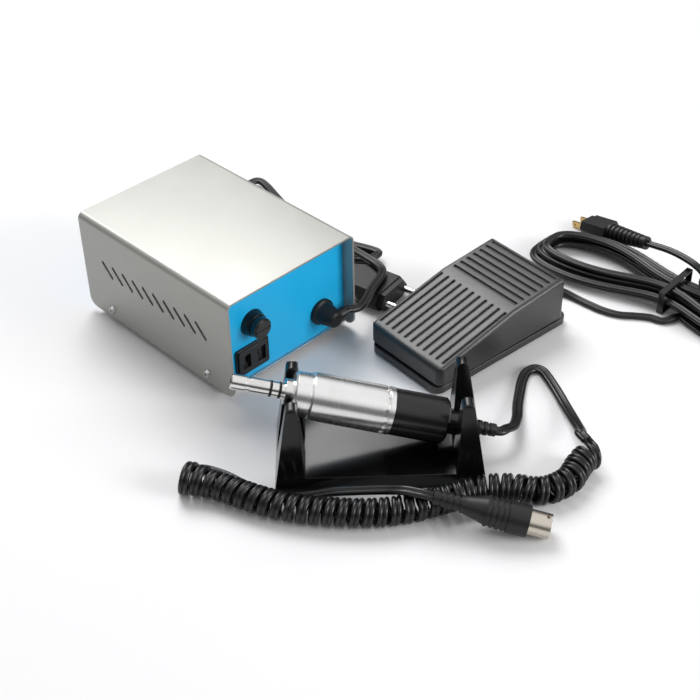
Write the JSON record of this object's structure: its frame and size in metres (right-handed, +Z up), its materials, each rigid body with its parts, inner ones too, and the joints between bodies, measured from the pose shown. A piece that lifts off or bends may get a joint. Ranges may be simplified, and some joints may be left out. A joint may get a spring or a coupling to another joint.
{
  "type": "dental lab micromotor",
  "caption": "Bench control box with blue end panels, a grooved foot pedal, and a slim motor handpiece on a notched desk stand, joined by curled and bundled black cords with their plugs.",
  "frame": {"origin": "The middle of the whole set's outline on the table: centre of the bounding box in X and Y, and its bottom, the table top, in Z.", "axes": "+Z is up. +X runs across the control box, from its left side to its right as seen from the end that the cords leave by. +Y runs along the box, from that end to its control panel; the stand, the handpiece and the cords lie towards -Y."},
  "size_m": [0.3568, 0.3606, 0.0689],
  "materials": {
    "cover_paint": "silver-white hammered paint, fine grain",
    "panel_paint": "satin blue paint",
    "steel": "zinc-plated, dull",
    "spring_steel": "bright spring steel",
    "foot_rubber": "light translucent rubber",
    "core_iron": "stacked iron sheet",
    "copper_winding": "lacquered copper wire",
    "board_green": "glossy laminate",
    "black_plastic": "moulded, satin",
    "pedal_plastic": "moulded, fine grain",
    "stand_plastic": "polished moulding",
    "black_rubber": "soft, matt",
    "rocker_red": "glossy",
    "rocker_black": "glossy",
    "clear_glass": "clear",
    "lamp_lens": "tinted green",
    "body_aluminium": "satin anodised",
    "bright_chrome": "polished",
    "warm_nickel": "satin nickel plate",
    "brass_metal": "machined",
    "magnet_iron": "sintered, ground",
    "brush_resin": "moulded resin"
  },
  "bodies": {
    "unit": {"case_cover": "cover_paint", "chassis": "steel", "rear_panel": "panel_paint", "front_panel": "panel_paint", "cover_screws": "steel", "box_feet": "foot_rubber", "transformer_core": "core_iron", "transformer_coil": "copper_winding", "circuit_board": "board_green", "fuse_holder": "black_plastic", "pedal_outlet": "black_plastic", "cord_bush": "black_rubber", "speed_pot": "steel", "power_switch": "black_plastic", "direction_switch": "black_plastic", "motor_socket": "steel", "indicator_lens": "lamp_lens", "pedal_base": "pedal_plastic", "hinge_pin": "steel", "pedal_spring": "spring_steel", "microswitch": "black_plastic", "pedal_gland": "black_rubber", "pedal_feet": "black_rubber", "stand": "stand_plastic", "curly_lead": "black_rubber", "curly_coil": "black_rubber", "curly_tail": "black_rubber", "din_boot": "black_rubber", "din_shell": "warm_nickel", "din_pins": "brass_metal", "mains_lead": "black_rubber", "mains_hank": "black_rubber", "euro_plug": "black_rubber", "euro_pins": "bright_chrome", "pedal_lead": "black_rubber", "pedal_hank": "black_rubber", "pedal_plug": "black_plastic", "plug_blades": "brass_metal", "cord_ties": "black_plastic"},
    "handpiece": {"coupling_nose": "bright_chrome", "nose_o_rings": "black_rubber", "front_ring": "body_aluminium", "motor_sleeve": "body_aluminium", "stator_magnets": "magnet_iron", "shaft_bearings": "steel", "rear_sleeve": "body_aluminium", "rear_cap": "black_plastic", "brush_gear": "brush_resin", "handpiece_relief": "black_rubber"},
    "rotor": {"rotor_shaft": "steel", "armature": "copper_winding", "commutator": "brass_metal", "drive_dog": "steel"},
    "treadle": {"treadle": "pedal_plastic"},
    "switch_lever": {"switch_lever": "steel"},
    "speed_knob": {"speed_knob": "black_plastic"},
    "power_rocker": {"power_rocker": "rocker_red"},
    "direction_rocker": {"direction_rocker": "rocker_black"},
    "fuse_carrier": {"fuse_cap": "black_plastic", "fuse": "clear_glass"}
  },
  "joints": [
    {"name": "treadle_hinge", "type": "hinge", "parent": "unit", "child": "treadle", "pos_m": [0.01007, -0.04931, 0.0106], "axis": [0.0854, 0.9963, 0], "range_deg": [0, 1.4], "stiffness_Nm_per_rad": 12, "springref_deg": -1.72, "deforming": ["pedal_spring"]},
    {"name": "switch_lever_hinge", "type": "hinge", "parent": "unit", "child": "switch_lever", "pos_m": [0.0554, -0.0532, 0.0259], "axis": [0.0854, 0.9963, 0], "range_deg": [0, 6.9]},
    {"name": "speed_knob_turn", "type": "hinge", "parent": "unit", "child": "speed_knob", "pos_m": [-0.0212, 0.1257, 0.0444], "axis": [0, -1, 0], "range_deg": [0, 300]},
    {"name": "power_rocker_tip", "type": "hinge", "parent": "unit", "child": "power_rocker", "pos_m": [-0.0062, 0.1257, 0.0189], "axis": [0, 0, 1], "range_deg": [0, 14]},
    {"name": "direction_rocker_tip", "type": "hinge", "parent": "unit", "child": "direction_rocker", "pos_m": [-0.0322, 0.1257, 0.0189], "axis": [0, 0, 1], "range_deg": [0, 14]},
    {"name": "fuse_cap_pull", "type": "slide", "parent": "unit", "child": "fuse_carrier", "axis": [0, -1, 0], "range_m": [0, 0.032]},
    {"name": "handpiece_lift", "type": "slide", "parent": "unit", "child": "handpiece", "axis": [0, 0, 1], "range_m": [0, 0.08]},
    {"name": "rotor_spin", "type": "hinge", "parent": "handpiece", "child": "rotor", "pos_m": [-0.08876, -0.05519, 0.0448], "axis": [0.6968, -0.6635, -0.2723], "continuous": true}
  ],
  "couplings": [
    {"joint": "switch_lever_hinge", "follows": "treadle_hinge", "ratio": 4.8889}
  ]
}
